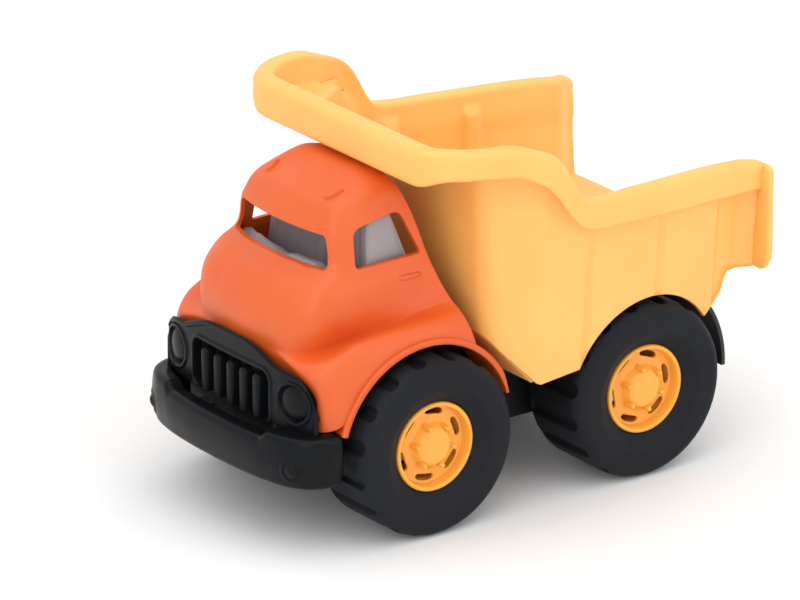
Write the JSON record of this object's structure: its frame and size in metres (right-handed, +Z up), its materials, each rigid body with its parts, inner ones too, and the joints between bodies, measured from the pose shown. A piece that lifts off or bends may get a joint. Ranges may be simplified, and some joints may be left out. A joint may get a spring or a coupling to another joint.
{
  "type": "toy dump truck",
  "caption": "Chunky plastic toy dump truck: rounded cab-over cab, open tipping bed with a canopy over the cab, and big rolling balloon tyres.",
  "frame": {"origin": "on the ground, under the middle of the truck's length and width", "axes": "+Z up; the truck faces -Y, so +Y points to its tail; +X is the truck's left side, and the truck is symmetric about X = 0"},
  "size_m": [0.183, 0.272, 0.1895],
  "materials": {
    "orange_plastic": "satin moulded plastic",
    "yellow_plastic": "satin moulded plastic",
    "rim_plastic": "satin moulded plastic",
    "black_plastic": "satin black moulded plastic",
    "grey_plastic": "matt grey moulded plastic",
    "tyre_rubber": "matt charcoal",
    "steel": "plain steel"
  },
  "bodies": {
    "chassis": {"chassis_frame": "black_plastic", "front_axle_clip": "black_plastic", "rear_axle_clip": "black_plastic", "front_bumper": "black_plastic", "grille": "black_plastic", "cab_shell": "orange_plastic", "cab_interior": "grey_plastic", "bed_hinge_pin": "steel", "clip_screws": "steel", "cab_screws": "steel", "interior_screws": "steel"},
    "bed": {"dump_bed": "yellow_plastic"},
    "front_wheels": {"front_axle": "steel", "rim_front_left": "rim_plastic", "rim_front_right": "rim_plastic", "tyre_front_left": "tyre_rubber", "tyre_front_right": "tyre_rubber"},
    "rear_wheels": {"rear_axle": "steel", "rim_rear_left": "rim_plastic", "rim_rear_right": "rim_plastic", "tyre_rear_left": "tyre_rubber", "tyre_rear_right": "tyre_rubber"}
  },
  "joints": [
    {"name": "bed_tip", "type": "hinge", "parent": "chassis", "child": "bed", "pos_m": [0, 0.109, 0.082], "axis": [-1, 0, 0], "range_deg": [0, 50]},
    {"name": "front_axle_roll", "type": "hinge", "parent": "chassis", "child": "front_wheels", "pos_m": [0, -0.0565, 0.044], "axis": [1, 0, 0], "continuous": true},
    {"name": "rear_axle_roll", "type": "hinge", "parent": "chassis", "child": "rear_wheels", "pos_m": [0, 0.0679, 0.044], "axis": [1, 0, 0], "continuous": true}
  ]
}
